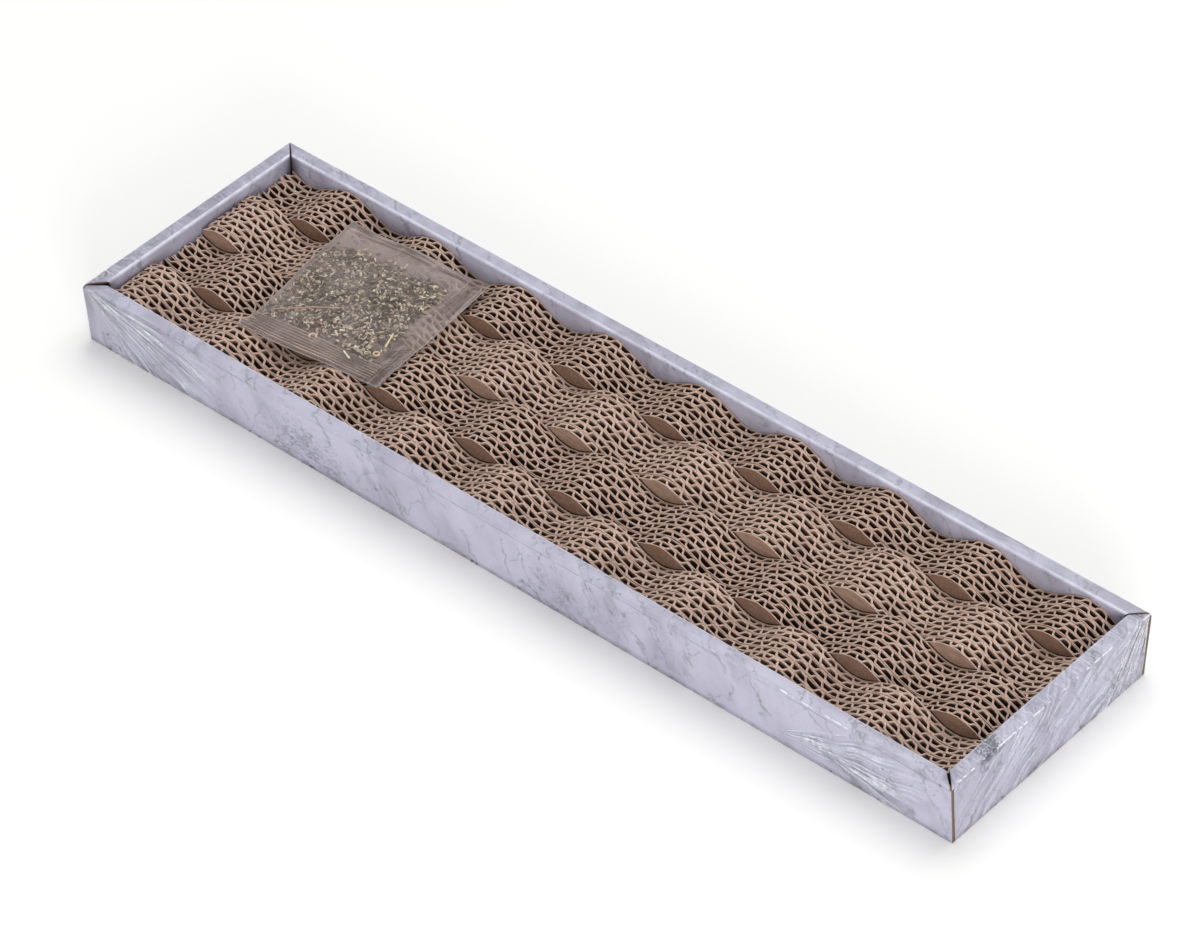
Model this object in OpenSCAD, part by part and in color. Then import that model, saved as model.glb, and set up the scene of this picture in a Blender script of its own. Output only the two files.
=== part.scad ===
// Cardboard cat scratcher: a wavy pad of corrugated strips on edge, in a folded tray with double walls,
// with a small grip-seal bag of catnip lying on the pad. Millimetres.
// The origin is the middle of the tray's underside: +X runs along the length, -Y is the front, +Z is up.

/* [Pad] */
// Length of the pad
pad_l = 464.4; // [300:0.1:600]
// Thickness of one strip of board
board_t = 3.88; // [3:0.02:5]
// Strips in each group, from the back to the front
group_counts = [7, 8, 8, 7]; // [2:1:10]
// Height of a strip, halfway between trough and crest
strip_h = 24; // [16:0.1:40]
// Height of the wave, from trough to crest
wave_h = 9.2; // [2:0.1:14]
// Length of one wave
wave_l = 51.3; // [30:0.1:90]
// From the pad's right end to the nearest crest of the back group
wave_lead = 17.2; // [0:0.1:50]

/* [Tray] */
// Height of the tray
tray_h = 32.6; // [30:0.1:60]
// Thickness of the tray's thin board
sheet_t = 1.6; // [1:0.1:2]
// Width of the flat rim, which is the double wall's width
rim_w = 7.5; // [7:0.1:12]
// How far the long walls lean in, from the rim to the floor
wall_lean = 2.4; // [0:0.1:2.6]
// Gap all round between the pad and the tray
pad_gap = 0.3; // [0.2:0.1:1]
// Gap where two rims meet at a corner, along the wall
mitre_gap = 1.2; // [0.2:0.1:3]
// Gap between an end panel and the long panels beside it
seam_gap = 0.3; // [0:0.1:0.8]
// Length of a corner tab
tab_l = 32; // [15:1:60]
// Gap above and below a corner tab
tab_gap = 0.5; // [0.2:0.1:2]

/* [Catnip bag] */
// Width of the bag, along its zip
bag_w = 75; // [50:1:100]
// Length of the bag, across its zip
bag_l = 83; // [60:1:90]
// From the pad's left end to the bag's middle
bag_x = 94.7; // [60:0.1:200]
// Where the bag's middle lies across the pad
bag_y = 4.5; // [-6:0.5:6]
// How far the bag is turned on the pad, in degrees
bag_turn = 4.3; // [-8:0.1:8]
// Gap between the bag and the wave's crests
bag_gap = 0.3; // [0.2:0.1:1]
// Thickness of the bag's film
film_t = 0.2; // [0.1:0.05:0.5]
// Width of the welded seam down the bag's left side
left_seal_w = 4; // [2:0.5:10]
// Width of the welded band down the bag's right side
right_seal_w = 11; // [4:0.5:16]
// Width of the welded seam at the bag's far end
end_seal_w = 5; // [2:0.5:10]
// Width of the lips at the bag's mouth, before the zip
lip_w = 4; // [2:0.5:10]
// Width of the zip's two strips
zip_w = 8; // [5:0.5:12]
// Height of the closed zip
zip_h = 1.4; // [1:0.1:3]
// Thickness of each strip of the zip
zip_strip_t = 0.4; // [0.3:0.05:0.45]
// Width of the zip's rib
rib_w = 0.6; // [0.3:0.1:1.5]
// Gap round the rib in its channel
rib_gap = 0.1; // [0.05:0.05:0.2]
// Thickness of the catnip at its middle
catnip_h = 3.2; // [2:0.1:10]
// How far the bag's film slopes at its seams
slope_w = 4; // [2:0.5:8]

/* [Hidden] */
// The wave is drawn with this many straight steps to a crest
WAVE_STEPS = 12;
// The catnip's crown is drawn with this many straight steps
CROWN_STEPS = 10;
FOLD_FN = 48;

strip_total = group_counts[0] + group_counts[1] + group_counts[2] + group_counts[3];
pad_w = strip_total * board_t;
inner_l = pad_l + 2 * pad_gap;
inner_w = pad_w + 2 * pad_gap;
tray_l = inner_l + 2 * rim_w;
tray_w = inner_w + 2 * rim_w;
wall_h = tray_h - sheet_t;
crest_z = sheet_t + strip_h + wave_h / 2;
bag_z = crest_z + bag_gap;

STRIPS = [for (i = [1 : strip_total]) str("strip_", i < 10 ? "0" : "", i)];
WALL_PARTS = ["outer_panel", "rim", "inner_panel"];
SIDES = ["front", "back", "left", "right"];
TRAY = concat(
    ["tray_floor"],
    [for (s = SIDES) for (p = WALL_PARTS) str(s, "_", p)],
    ["front_left_tab", "front_right_tab", "back_left_tab", "back_right_tab"]);
BAG = ["bag_back_sheet", "bag_front_sheet", "zip_channel", "zip_rib", "catnip"];
NODES = concat(TRAY, STRIPS, BAG);
node = "all";

function drawn(name) = node == "all" || node == name;

// Outer face of a long wall at a height: the wall leans in towards the floor
function outer_y(z) = tray_w / 2 - wall_lean * (1 - z / wall_h);

// Turns an outline in Y and Z into a bar of the given length along X, from its middle
module along_x(length) {
    rotate([90, 0, 90]) linear_extrude(length, center = true) children();
}

module printed() { color("lavender") children(); }
module kraft() { color("burlywood") children(); }

// Tray

// The floor lies between the four outer panels, and meets the leaning ones all the way down
module tray_floor() {
    kraft() along_x(tray_l - 2 * sheet_t) polygon([
        [-outer_y(0) + sheet_t, 0], [outer_y(0) - sheet_t, 0],
        [outer_y(sheet_t) - sheet_t, sheet_t], [-outer_y(sheet_t) + sheet_t, sheet_t]]);
}

// The back long wall's outer panel runs the tray's whole length, and its raw ends show
module long_outer_panel() {
    printed() along_x(tray_l) polygon([
        [outer_y(0) - sheet_t, 0], [outer_y(0), 0],
        [outer_y(wall_h), wall_h], [outer_y(wall_h) - sheet_t, wall_h]]);
}

// The right end wall's outer panel fits between the long ones
module end_outer_panel() {
    foot = outer_y(0) - sheet_t - seam_gap;
    head = outer_y(wall_h) - sheet_t - seam_gap;
    printed() translate([tray_l / 2 - sheet_t / 2, 0, 0]) along_x(sheet_t) polygon([
        [-foot, 0], [foot, 0], [head, wall_h], [-head, wall_h]]);
}

// Section of a rim: flat board with its two folds rounded, from the inner face outwards
module rim_section() {
    intersection() {
        union() {
            translate([sheet_t, 0]) square([rim_w - 2 * sheet_t, sheet_t]);
            translate([sheet_t, 0]) circle(sheet_t, $fn = FOLD_FN);
            translate([rim_w - sheet_t, 0]) circle(sheet_t, $fn = FOLD_FN);
        }
        square([rim_w, sheet_t]);
    }
}

// Plan of a rim, for a wall whose inner and outer faces have these half-lengths, mitred at both ends
module rim_plan(inner_half, outer_half) {
    cut = mitre_gap / 2;
    polygon([
        [-inner_half + cut, 0], [inner_half - cut, 0],
        [outer_half - cut, rim_w], [-outer_half + cut, rim_w]]);
}

// A rim along X, with its inner face at Y = 0
module rim(inner_half, outer_half) {
    intersection() {
        along_x(2 * outer_half) rim_section();
        linear_extrude(sheet_t) rim_plan(inner_half, outer_half);
    }
}

module long_rim() {
    printed() translate([0, inner_w / 2, wall_h]) rim(inner_l / 2, tray_l / 2);
}

module end_rim() {
    printed() translate([inner_l / 2, 0, wall_h]) rotate([0, 0, -90]) rim(inner_w / 2, tray_w / 2);
}

// The long inner panel stands on the floor under the rim, and covers the end panel's edge
module long_inner_panel() {
    printed() translate([-inner_l / 2 - sheet_t, inner_w / 2, sheet_t])
        cube([inner_l + 2 * sheet_t, sheet_t, wall_h - sheet_t]);
}

module end_inner_panel() {
    printed() translate([inner_l / 2, -inner_w / 2, sheet_t]) cube([sheet_t, inner_w, wall_h - sheet_t]);
}

// A tab at the back right corner: it folds off the end panel and lies flat inside the long wall
module corner_tab() {
    low = sheet_t + tab_gap;
    high = wall_h - tab_gap;
    kraft() translate([tray_l / 2 - sheet_t - tab_l / 2, 0, 0]) along_x(tab_l) polygon([
        [outer_y(low) - 2 * sheet_t, low], [outer_y(low) - sheet_t, low],
        [outer_y(high) - sheet_t, high], [outer_y(high) - 2 * sheet_t, high]]);
}

module to_front() { mirror([0, 1, 0]) children(); }
module to_left() { mirror([1, 0, 0]) children(); }

// Pad

// How many strips lie behind a group
function strips_before(group) = group == 0 ? 0 : strips_before(group - 1) + group_counts[group - 1];

// The group that a strip is in, counted from the back
function group_of(i, group = 0) =
    group == len(group_counts) - 1 || i < strips_before(group + 1) ? group : group_of(i, group + 1);

// Height of a strip's top at a place along X: each second group is turned over, so its wave is reversed
function wave_z(x, group) =
    strip_h + (group % 2 == 0 ? 1 : -1) * wave_h / 2 * cos(360 * (x - pad_l / 2 + wave_lead) / wave_l);

// One strip of corrugated board on edge, counted from the back, with its top sawn to the wave
module pad_strip(i) {
    steps = round(pad_l / wave_l * WAVE_STEPS);
    top = [for (k = [steps : -1 : 0])
        let (x = pad_l * (k / steps - 1 / 2)) [x, wave_z(x, group_of(i))]];
    kraft() translate([0, pad_w / 2 - i * board_t, sheet_t])
        rotate([90, 0, 0]) linear_extrude(board_t)
            polygon(concat([[-pad_l / 2, 0], [pad_l / 2, 0]], top));
}

// Catnip bag, drawn flat with its zip at the -Y end and its underside at Z = 0

// The pouch inside the seams, and the room for the zip and the catnip in it
pouch_left = -bag_w / 2 + left_seal_w;
pouch_right = bag_w / 2 - right_seal_w;
full_left = pouch_left + slope_w;
full_right = pouch_right - slope_w;
zip_start = -bag_l / 2 + lip_w;
zip_end = zip_start + zip_w;
pouch_end = bag_l / 2 - end_seal_w;

module on_pad() {
    translate([bag_x - pad_l / 2, bag_y, bag_z]) rotate([0, 0, bag_turn]) children();
}

// Room between the two sheets past the zip: as high as the zip at its edge, then crowned, then closed
function crown(y) =
    let (share = (y - zip_end) / (pouch_end - zip_end))
    zip_h * (1 - share) + (catnip_h - zip_h / 2) * sin(180 * share);

// Places across the bag where its room changes, with the room there
ROOM = concat(
    [[-bag_l / 2, 0], [zip_start - lip_w / 2, 0], [zip_start, zip_h], [zip_end, zip_h]],
    [for (k = [1 : CROWN_STEPS - 1])
        let (y = zip_end + (pouch_end - zip_end) * k / CROWN_STEPS) [y, crown(y)]],
    [[pouch_end, 0], [bag_l / 2, 0]]);

// Places along the zip where the room changes, with its share of the full room
SPREAD = [[-bag_w / 2, 0], [pouch_left, 0], [full_left, 1], [full_right, 1], [pouch_right, 0], [bag_w / 2, 0]];

module bag_back_sheet() {
    color("gainsboro", 0.5) on_pad()
        translate([-bag_w / 2, -bag_l / 2, 0]) cube([bag_w, bag_l, film_t]);
}

// The front sheet lies on the back one at the seams and rises over the zip and the catnip
module bag_front_sheet() {
    rows = len(ROOM);
    columns = len(SPREAD);
    count = rows * columns;
    points = [for (lift = [0, film_t]) for (s = SPREAD) for (r = ROOM)
        [s[0], r[0], film_t + s[1] * r[1] + lift]];
    cells = [for (c = [0 : columns - 2]) for (r = [0 : rows - 2]) c * rows + r];
    under = [for (k = cells) each [[k, k + rows, k + 1], [k + 1, k + rows, k + rows + 1]]];
    over = [for (f = under) [f[2] + count, f[1] + count, f[0] + count]];
    edge = concat(
        [for (r = [0 : rows - 1]) r],
        [for (c = [1 : columns - 1]) c * rows + rows - 1],
        [for (r = [rows - 2 : -1 : 0]) (columns - 1) * rows + r],
        [for (c = [columns - 2 : -1 : 1]) c * rows]);
    rim = [for (k = [0 : len(edge) - 1])
        let (a = edge[k], b = edge[(k + 1) % len(edge)])
        each [[a, b, b + count], [a, b + count, a + count]]];
    color("gainsboro", 0.5) on_pad() polyhedron(points, concat(under, over, rim));
}

// The zip's lower strip: two walls on it hold the rib between them
module zip_channel() {
    wall_top = zip_h - zip_strip_t;
    half = rib_w / 2 + rib_gap;
    middle = (zip_start + zip_end) / 2;
    color("whitesmoke") on_pad() translate([(full_left + full_right) / 2, middle, film_t])
        along_x(full_right - full_left) polygon([
            [-zip_w / 2, 0], [zip_w / 2, 0], [zip_w / 2, zip_strip_t],
            [half + rib_w, zip_strip_t], [half + rib_w, wall_top], [half, wall_top], [half, zip_strip_t],
            [-half, zip_strip_t], [-half, wall_top], [-half - rib_w, wall_top], [-half - rib_w, zip_strip_t],
            [-zip_w / 2, zip_strip_t]]);
}

// The zip's upper strip, with the rib that presses into the channel
module zip_rib() {
    middle = (zip_start + zip_end) / 2;
    color("whitesmoke") on_pad() translate([(full_left + full_right) / 2, middle, film_t])
        along_x(full_right - full_left) polygon([
            [-zip_w / 2, zip_h], [-zip_w / 2, zip_h - zip_strip_t], [-rib_w / 2, zip_h - zip_strip_t],
            [-rib_w / 2, zip_strip_t + rib_gap], [rib_w / 2, zip_strip_t + rib_gap],
            [rib_w / 2, zip_h - zip_strip_t], [zip_w / 2, zip_h - zip_strip_t], [zip_w / 2, zip_h]]);
}

// The loose catnip, as the block of space that it fills
module catnip() {
    crowned = [for (r = ROOM) if (r[0] > zip_end && r[1] > 0) r];
    first = crowned[0];
    last = crowned[len(crowned) - 1];
    color("darkolivegreen") on_pad() translate([(full_left + full_right) / 2, 0, film_t])
        along_x(full_right - full_left)
            polygon(concat([[last[0], 0], [first[0], 0]], crowned));
}

if (drawn("tray_floor")) tray_floor();
if (drawn("front_outer_panel")) to_front() long_outer_panel();
if (drawn("front_rim")) to_front() long_rim();
if (drawn("front_inner_panel")) to_front() long_inner_panel();
if (drawn("back_outer_panel")) long_outer_panel();
if (drawn("back_rim")) long_rim();
if (drawn("back_inner_panel")) long_inner_panel();
if (drawn("left_outer_panel")) to_left() end_outer_panel();
if (drawn("left_rim")) to_left() end_rim();
if (drawn("left_inner_panel")) to_left() end_inner_panel();
if (drawn("right_outer_panel")) end_outer_panel();
if (drawn("right_rim")) end_rim();
if (drawn("right_inner_panel")) end_inner_panel();
if (drawn("front_left_tab")) to_left() to_front() corner_tab();
if (drawn("front_right_tab")) to_front() corner_tab();
if (drawn("back_left_tab")) to_left() corner_tab();
if (drawn("back_right_tab")) corner_tab();
for (i = [0 : strip_total - 1]) if (drawn(STRIPS[i])) pad_strip(i);
if (drawn("bag_back_sheet")) bag_back_sheet();
if (drawn("bag_front_sheet")) bag_front_sheet();
if (drawn("zip_channel")) zip_channel();
if (drawn("zip_rib")) zip_rib();
if (drawn("catnip")) catnip();
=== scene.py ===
import math
import random

import bmesh
import bpy
import numpy as np
from mathutils import Matrix, Vector, noise


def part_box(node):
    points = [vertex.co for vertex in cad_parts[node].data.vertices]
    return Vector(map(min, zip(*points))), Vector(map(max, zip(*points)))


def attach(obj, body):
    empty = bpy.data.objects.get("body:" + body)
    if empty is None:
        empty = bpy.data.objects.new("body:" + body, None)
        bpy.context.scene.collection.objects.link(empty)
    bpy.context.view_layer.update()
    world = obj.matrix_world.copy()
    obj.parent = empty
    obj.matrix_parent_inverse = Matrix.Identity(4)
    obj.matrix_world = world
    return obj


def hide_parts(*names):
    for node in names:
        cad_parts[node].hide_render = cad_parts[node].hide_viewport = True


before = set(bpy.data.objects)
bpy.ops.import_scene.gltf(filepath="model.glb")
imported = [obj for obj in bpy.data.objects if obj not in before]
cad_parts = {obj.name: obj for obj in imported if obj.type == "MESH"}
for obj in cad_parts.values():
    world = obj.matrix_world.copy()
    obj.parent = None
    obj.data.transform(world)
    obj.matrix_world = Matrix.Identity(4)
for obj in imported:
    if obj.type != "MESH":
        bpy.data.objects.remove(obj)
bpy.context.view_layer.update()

# Cardboard cat scratcher: a wavy pad of corrugated strips on edge in a folded, marble-printed tray that is
# wrapped in thin clear film, with a small grip-seal bag of catnip on the pad. Lengths are in metres.

MM = 0.001


def limited(share):
    """A share, kept between 0 and 1."""
    return min(1.0, max(0.0, share))


def wander(x, size, seed, across=0.0):
    """Smooth noise from -1 to 1, with humps about size apart along x."""
    return noise.noise(Vector((x / size, seed + 0.37, across + 0.61)))


def humps(x, y, size, seed):
    """Smooth noise from -1 to 1, with humps about size apart both ways."""
    return noise.noise(Vector((x / size, y / size, seed)))


def fading(off, reach):
    """1 where off is nothing, less as it grows, and 0 from this far off."""
    return max(0.0, 1 - abs(off) / reach)


def near_spot(x, y, spot, reach):
    """1 at a spot, 0 from this far off it."""
    return fading(math.hypot(x - spot[0], y - spot[1]), reach)


def srgb(red, green, blue):
    """A colour as a screen shows it, from 0 to 255, as the linear colour that a shader takes."""
    def linear(part):
        share = part / 255
        return share / 12.92 if share <= 0.04045 else ((share + 0.055) / 1.055) ** 2.4
    return (linear(red), linear(green), linear(blue), 1.0)


# Materials

class Signal:
    """What comes out of a node, to reckon with as with a number."""

    def __init__(self, finish, socket):
        self.finish, self.socket = finish, socket

    def __add__(self, other):
        return self.finish.maths("ADD", self, other)

    def __sub__(self, other):
        return self.finish.maths("SUBTRACT", self, other)

    def __mul__(self, other):
        return self.finish.maths("MULTIPLY", self, other)


class Finish:
    """The nodes of one material. An input takes a number, a colour or a signal."""

    def __init__(self, name):
        self.material = bpy.data.materials.new(name)
        self.material.use_nodes = True
        self.nodes = self.material.node_tree.nodes
        self.nodes.clear()
        self.place = self.node("TexCoord", {}, "Object")
        self.colour = None

    def feed(self, socket, value):
        if isinstance(value, Signal):
            self.material.node_tree.links.new(value.socket, socket)
        else:
            socket.default_value = value

    def node(self, kind, inputs, output=0, **settings):
        """Adds a node. Inputs and the output that is wanted are told by name or number."""
        made = self.nodes.new("ShaderNode" + kind)
        for name, value in settings.items():
            setattr(made, name, value)
        for name, value in inputs.items():
            self.feed(made.inputs[name], value)
        return Signal(self, made.outputs[output])

    def split(self, place):
        """The three parts of a place or a direction."""
        return [self.node("SeparateXYZ", {"Vector": place}, axis) for axis in "XYZ"]

    def stretched(self, scale, turn=(0, 0, 0), source=None):
        """The place on the piece, turned and then stretched."""
        turned = self.node("Mapping", {"Vector": source or self.place, "Rotation": turn})
        return self.node("Mapping", {"Vector": turned, "Scale": scale})

    def noise(self, size, detail, roughness=0.5, distortion=0.0, at=None):
        """Noise from 0 to 1 whose humps are about size across."""
        return self.node("TexNoise", {"Vector": at or self.place, "Scale": 1 / size, "Detail": detail,
                                      "Roughness": roughness, "Distortion": distortion}, "Fac")

    def band(self, value, low, high, start=0.0, end=1.0):
        """Value as it goes from low to high, eased, as a share from start to end."""
        return self.node("MapRange", {"Value": value, "From Min": low, "From Max": high, "To Min": start,
                                      "To Max": end}, interpolation_type="SMOOTHSTEP")

    def maths(self, operation, *values, clamp=False):
        return self.node("Math", dict(enumerate(values)), operation=operation, use_clamp=clamp)

    def warped(self, at, size, reach):
        """A place pushed about by up to reach, so that a pattern drawn on it wanders."""
        push = self.node("TexNoise", {"Vector": at, "Scale": 1 / size, "Detail": 2.0}, "Color")
        centred = self.node("VectorMath", {0: push, 1: (0.5, 0.5, 0.5)}, operation="SUBTRACT")
        return self.node("VectorMath", {0: centred, 1: [2 * reach] * 3, 2: at}, operation="MULTIPLY_ADD")

    def mix(self, share, first, second):
        """From one colour to another as share goes from 0 to 1."""
        # Inputs 6 and 7 and output 2 are the ones for colours
        return self.node("Mix", {0: share, 6: first, 7: second}, 2, data_type="RGBA")

    def paint(self, share, red, green, blue):
        """Covers the colour so far with another one where share is 1."""
        self.colour = self.mix(share, self.colour, srgb(red, green, blue))

    def attribute(self, name, output="Fac"):
        return self.node("Attribute", {}, output, attribute_name=name)

    def ramp(self, value, stops):
        """A colour for a value, through the colours at these places."""
        made = self.node("ValToRGB", {"Fac": value})
        elements = made.socket.node.color_ramp.elements
        while len(elements) < len(stops):
            elements.new(0.5)
        for element, (place, *colour) in zip(elements, stops):
            element.position = place
            element.color = srgb(*colour)
        return made

    def bump(self, height, depth, strength):
        return self.node("Bump", {"Height": height, "Distance": depth, "Strength": strength})

    def surface(self, **inputs):
        """Ends the tree with a Principled shader. An input's name is written with _ for each space."""
        inputs = {name.replace("_", " "): value for name, value in inputs.items()}
        shader = self.node("BsdfPrincipled", {"Base Color": self.colour, **inputs})
        self.feed(self.nodes.new("ShaderNodeOutputMaterial").inputs[0], shader)
        return self.material


# Each set of veins: spacing, width, slant, waver, size of the breaks, strength and colour
VEINS = (
    (34, 1.6, 0.75, 1.7, 24, 0.75, (124, 129, 132)),
    (18, 1.0, 0.4, 1.7, 12, 0.6, (124, 127, 134)),
    (29, 0.9, -0.7, 1.5, 9, 0.55, (116, 119, 124)),
)
# A brown speck near the front right corner
SPECK_AT = (0.2345, -0.0658, 0.0307)
# The most fans of creases that one wall's film can have
FANS_A_WALL = 3


def veins(f, spacing, width, slant, waver, breaks):
    """Thin wandering lines that cross a wall about every spacing, broken up by noise. Slant says how far
    each one goes sideways as it goes down."""
    x, y, z = f.split(f.place)
    # The 40 keeps the place above 0 all along the tray
    place = (x + y + z * slant) * (1 / spacing) + 40.0 + f.noise(spacing * 1.1, 6, 0.66) * waver
    off = f.maths("ABSOLUTE", f.maths("FRACT", place) - 0.5)
    return f.band(off, 0.0, width / spacing, 1.0, 0.0) * f.band(f.noise(breaks, 3, 0.6), 0.42, 0.58)


def fold_highlight_and_shade(f, x, y, z):
    """Where the rim's folds show: a painted highlight on the inner fold, and a fine line of painted shade
    under the outer one.
    """
    rim_low, rim_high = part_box("back_rim")
    side_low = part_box("right_rim")[0]
    across = f.maths("ABSOLUTE", y) - rim_low.y
    along = f.maths("ABSOLUTE", x) - side_low.x
    outwards = f.maths("MAXIMUM", across, along)
    inner = f.band(outwards, 1.5 * MM, 0.8 * MM) * f.band(z, rim_high.z - 1.5 * MM, rim_high.z)
    highlight_breaks = f.band(f.noise(9 * MM, 3, 0.6), 0.35, 0.6, 0.5, 1.0)
    below = f.maths("ABSOLUTE", z - (rim_high.z - 2.1 * MM))
    outer = f.band(below, 0.6 * MM, 0.15 * MM) * f.band(outwards, 4 * MM, 5 * MM)
    broken = f.band(f.noise(14 * MM, 3, 0.6), 0.35, 0.6)
    return inner * highlight_breaks, outer * broken


def painted_rim_shade(f, x, y, z):
    """1 on the left rim, less on the back rim and 0 elsewhere, where painted shade greys the print."""
    back_low, back_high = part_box("back_rim")
    left_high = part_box("left_rim")[1]
    left = f.band(x, left_high.x + MM, left_high.x - MM)
    back = f.band(y, back_low.y - MM, back_low.y + MM, 0.0, 0.6)
    high = f.band(z, back_high.z - 1.2 * MM, back_high.z - 0.2 * MM)
    return f.maths("MAXIMUM", left, back) * high


def marble_print():
    """Pale lilac marble, printed on the board, with soft clouds, thin grey veins and small smudges, and with
    painted light and shade at the folds and on the left and back rims.
    """
    f = Finish("marble_print")
    x, y, z = f.split(f.place)
    lean = f.stretched((1.0, 1.0, 0.4), (0.3, 0.35, 0.0), f.warped(f.place, 10 * MM, 2.2 * MM))
    clouds = f.band(f.noise(24 * MM, 4, 0.55, 0.2, lean), 0.36, 0.66)
    f.colour = f.mix(clouds, srgb(191, 189, 208), srgb(171, 168, 187))
    cluster = f.band(f.noise(26 * MM, 2, 0.5, 0.0, lean), 0.45, 0.58)
    smudge = f.band(f.noise(6 * MM, 5, 0.65, 0.3, lean), 0.48, 0.7, 0.0, 0.5)
    f.paint(smudge * cluster, 132, 132, 142)
    flecks = f.band(f.noise(1.9 * MM, 3, 0.6, 0.2, lean), 0.6, 0.7, 0.0, 0.75)
    f.paint(flecks * cluster, 100, 101, 108)
    for spacing, width, slant, waver, breaks, strength, colour in VEINS:
        f.paint(veins(f, spacing * MM, width * MM, slant, waver, breaks * MM) * strength, *colour)
    # Painted shade, mottled, on the left and back rims
    grey = f.band(f.noise(12 * MM, 6, 0.68, 0.3, lean), 0.38, 0.62, 0.08, 0.55)
    f.paint(painted_rim_shade(f, x, y, z) * grey, 134, 132, 146)
    grain = f.band(f.noise(0.9 * MM, 3, 0.7), 0.35, 0.65, 0.0, 0.16)
    f.paint(grain, 150, 148, 166)
    # A painted highlight along the inner folds and a painted line of shade under the outer folds
    fold_highlight, fold_shade_line = fold_highlight_and_shade(f, x, y, z)
    f.paint(fold_shade_line * 0.5, 118, 116, 132)
    f.paint(fold_highlight * 0.85, 232, 234, 248)
    scuffs = f.band(f.noise(2.8 * MM, 2, 0.6), 0.6, 0.67) * f.band(z, 2.4 * MM, 0.8 * MM)
    f.paint(scuffs, 70, 62, 66)
    rubbed = f.band(f.noise(9 * MM, 5, 0.7), 0.48, 0.62) * f.band(z, 5 * MM, 1 * MM)
    f.paint(rubbed * 0.45, 150, 134, 144)
    from_speck = f.node("VectorMath", {0: f.place, 1: SPECK_AT}, "Value", operation="DISTANCE")
    f.paint(f.band(from_speck, 0.9 * MM, 0.4 * MM, 0.0, 0.9), 112, 78, 76)
    relief = f.bump(f.noise(5 * MM, 3, 0.6), 0.1 * MM, 0.35)
    return f.surface(Roughness=0.42, Coat_Weight=0.25, Coat_Roughness=0.18, Normal=relief)


def kraft(name, light, dark, fibre):
    """Plain brown board with long fibres and specks."""
    f = Finish(name)
    fibres = f.noise(fibre, 4, 0.7, 0.3, f.stretched((0.25, 1.0, 1.0)))
    f.colour = f.mix(f.band(fibres, 0.3, 0.7), light, dark)
    specks = f.band(f.noise(0.55 * MM, 2, 0.6), 0.62, 0.72, 0.0, 0.5)
    f.paint(specks, 84, 62, 48)
    return f.surface(Roughness=0.9, Specular_IOR_Level=0.25, Normal=f.bump(fibres, 0.15 * MM, 0.5))


def pad_paper():
    """The strips' paper: brown, light with fuzz at the sawn top, and darker down inside the flutes with
    painted shade.
    The outer side of a liner, which shows as a lens between two groups, stays brown all the way down."""
    f = Finish("pad_paper")
    side = f.split(f.node("TexCoord", {}, "Normal"))[1]
    outside = f.band(side * f.attribute("skin"), 0.2, 0.6)
    inside = f.maths("SUBTRACT", 1.0, outside)
    tone = f.attribute("tone")
    depth = f.attribute("depth")
    speckle = f.noise(0.7 * MM, 3, 0.7)
    fibres = f.noise(2.2 * MM, 3, 0.65, 0.2, f.stretched((0.3, 1.0, 1.0)))
    f.colour = f.mix(tone, srgb(118, 89, 73), srgb(170, 141, 124))
    f.paint(f.band(fibres, 0.35, 0.65, 0.0, 0.4), 104, 78, 64)
    f.paint(f.band(speckle, 0.5, 0.68, 0.0, 0.4), 176, 146, 126)
    f.paint(inside * f.band(depth, 0.0, 0.08, 0.75, 0.0), 206, 180, 164)
    # Painted shade: the paper darkens with depth down inside the flutes, sooner in the darker groups
    f.paint(inside * f.band(depth, 0.0, tone * 0.12 + 0.13, 0.0, 0.94), 56, 40, 33)
    # Painted shade: a dark line where a lens meets the lower group in front of it
    foot = f.band(f.attribute("above"), 0.6 * MM, 0.1 * MM, 0.0, 0.8)
    f.paint(outside * foot, 24, 15, 11)
    return f.surface(Roughness=0.95, Specular_IOR_Level=0.15, Normal=f.bump(speckle, 0.12 * MM, 0.6))


def pad_sawn_edge():
    """The strips' sawn edges: pale, fuzzy and speckled."""
    f = Finish("pad_sawn_edge")
    speckle = f.noise(0.6 * MM, 3, 0.75)
    patches = f.noise(9 * MM, 2, 0.5)
    f.colour = f.mix(f.attribute("tone"), srgb(204, 179, 165), srgb(219, 194, 180))
    f.paint(f.band(speckle, 0.38, 0.68), 158, 129, 113)
    f.paint(f.band(patches, 0.4, 0.7, 0.0, 0.35), 160, 132, 116)
    return f.surface(Roughness=0.95, Specular_IOR_Level=0.15, Normal=f.bump(speckle, 0.2 * MM, 0.7))


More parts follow.
